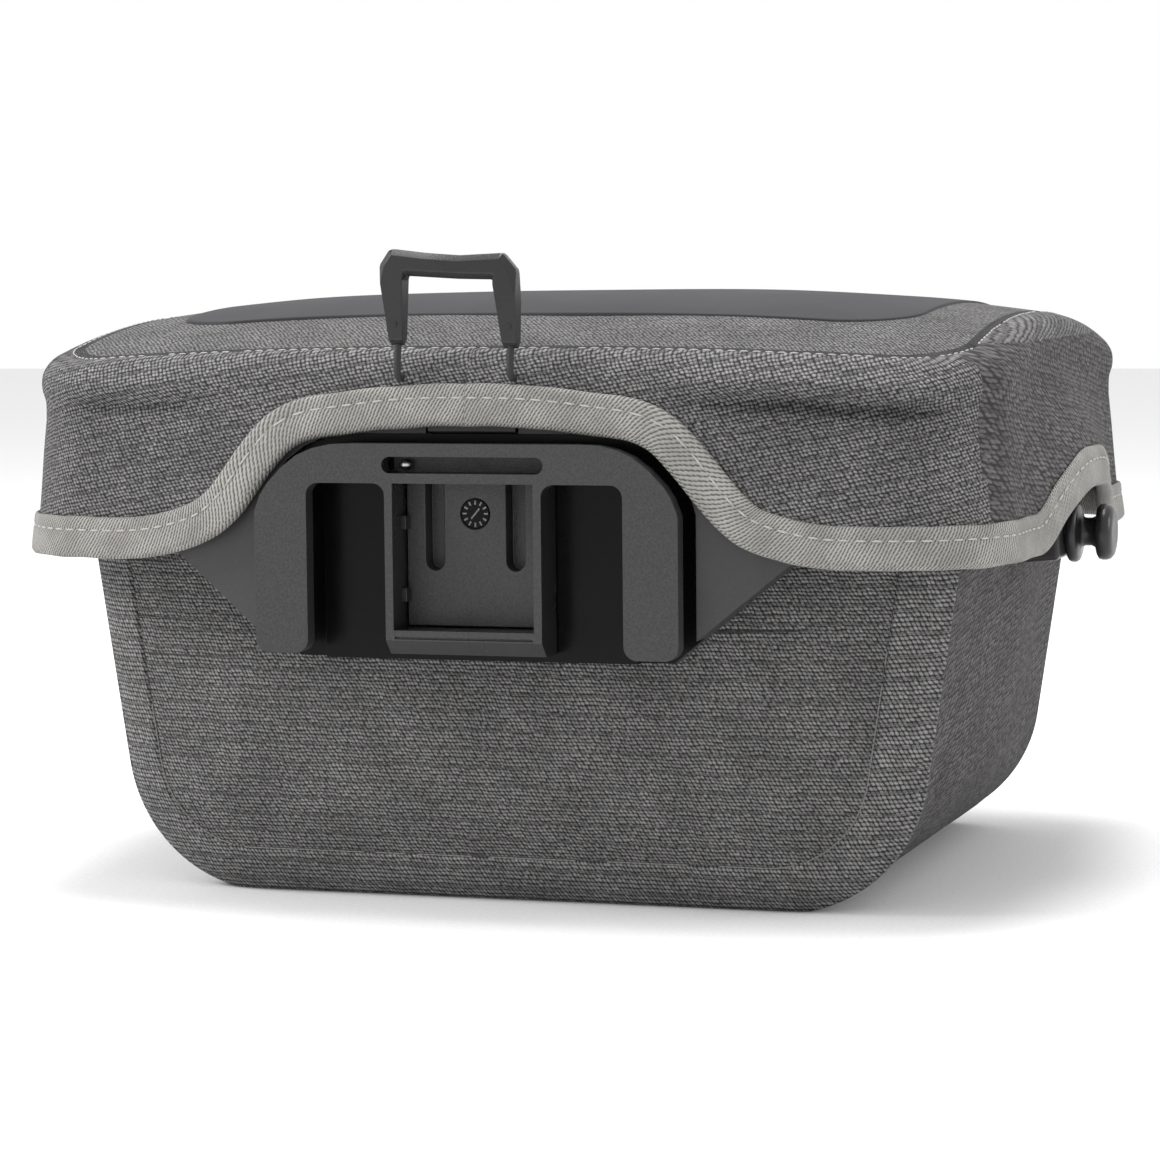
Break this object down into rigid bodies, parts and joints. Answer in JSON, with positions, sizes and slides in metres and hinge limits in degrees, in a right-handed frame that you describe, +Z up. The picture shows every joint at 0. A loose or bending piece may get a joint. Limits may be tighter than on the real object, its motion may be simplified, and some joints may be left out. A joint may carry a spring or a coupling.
{
  "type": "bicycle handlebar bag",
  "caption": "Soft grey handlebar bag with a domed lid, arched fabric binding, side knobs, pull handle and a dark plastic handlebar mount.",
  "frame": {"origin": "centre of the bounding box in plan, at the level of the flat bottom", "axes": "+Z up, +X to the rider's right, -Y towards the rider and the handlebar"},
  "size_m": [0.275, 0.2076, 0.1615],
  "materials": {
    "woven_fabric": "matt grey knit",
    "window_film": "semi-gloss dark grey film",
    "binding_tape": "light grey twill",
    "bracket_plastic": "fine satin texture",
    "dark_plastic": "smooth dark grey",
    "black_cord": "braided",
    "bright_pin": "smooth"
  },
  "bodies": {
    "root": {"body_shell": "woven_fabric", "rear_band": "woven_fabric", "lid_shell": "woven_fabric", "lid_window": "window_film", "lid_binding": "binding_tape", "bracket_plate": "dark_plastic", "bracket_frame": "bracket_plastic", "socket_insert": "bracket_plastic", "socket_dial": "dark_plastic", "slot_pin": "bright_pin", "release_tab": "dark_plastic", "pull_handle": "dark_plastic", "pull_cord_left": "black_cord", "pull_cord_right": "black_cord", "knob_arm_left": "dark_plastic", "knob_arm_right": "dark_plastic", "knob_left": "dark_plastic", "knob_right": "dark_plastic"}
  },
  "joints": []
}
